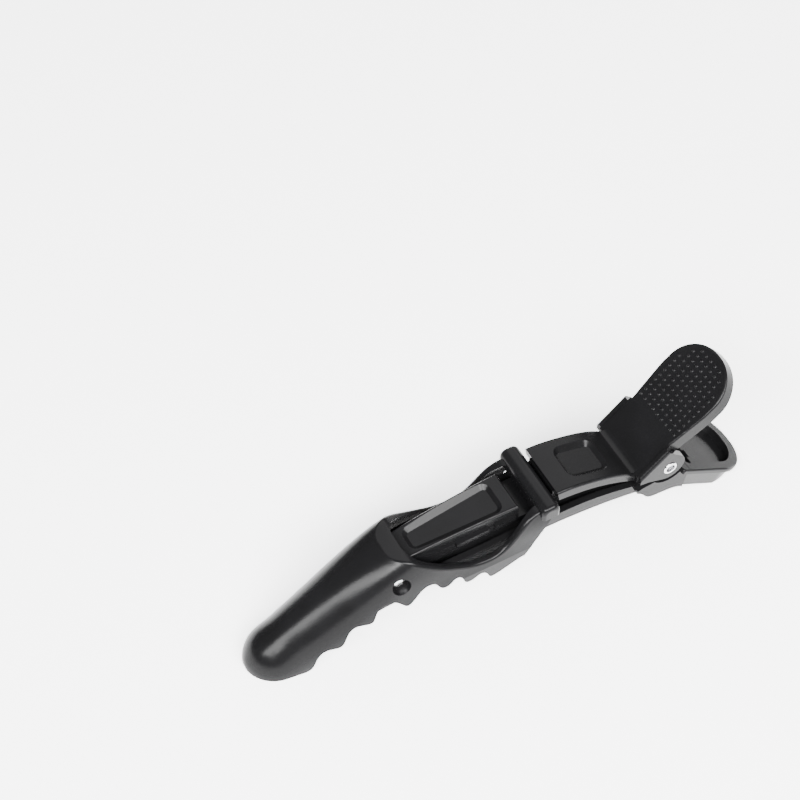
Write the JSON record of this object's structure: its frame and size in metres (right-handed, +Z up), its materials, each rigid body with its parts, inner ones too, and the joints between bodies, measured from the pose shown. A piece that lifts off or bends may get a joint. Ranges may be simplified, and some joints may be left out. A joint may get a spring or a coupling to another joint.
{
  "type": "hair sectioning clip",
  "caption": "Hair sectioning clip: arched wavy-edged hood hinged on a lever arm with a dotted thumb pad, sprung against a trough-shaped lower jaw with a tail tray.",
  "frame": {"origin": "midway between the nose tip and the end of the tail tray, on the plane the closed clip rests on", "axes": "+X from the nose to the thumb levers, +Z up, +Y across; the clip is symmetric about the XZ plane but for its spring"},
  "size_m": [0.1126, 0.0174, 0.0336],
  "materials": {
    "black_plastic": "satin",
    "pin_steel": "bright",
    "spring_steel": "bright drawn wire"
  },
  "bodies": {
    "jaw": {"lower_jaw": "black_plastic", "torsion_spring": "spring_steel"},
    "lever": {"lever_arm": "black_plastic", "pivot_pin": "pin_steel", "hood_hinge_pin": "pin_steel"},
    "hood": {"jaw_hood": "black_plastic"}
  },
  "joints": [
    {"name": "lever_pivot", "type": "hinge", "parent": "jaw", "child": "lever", "pos_m": [0.0344, 0, 0.0151], "axis": [0, 1, 0], "range_deg": [0, 45], "stiffness_Nm_per_rad": 0.12, "springref_deg": -34.38, "deforming": ["torsion_spring"]},
    {"name": "hood_hinge", "type": "hinge", "parent": "lever", "child": "hood", "pos_m": [-0.0257, 0, 0.0156], "axis": [0, 1, 0], "range_deg": [0, 2]}
  ]
}
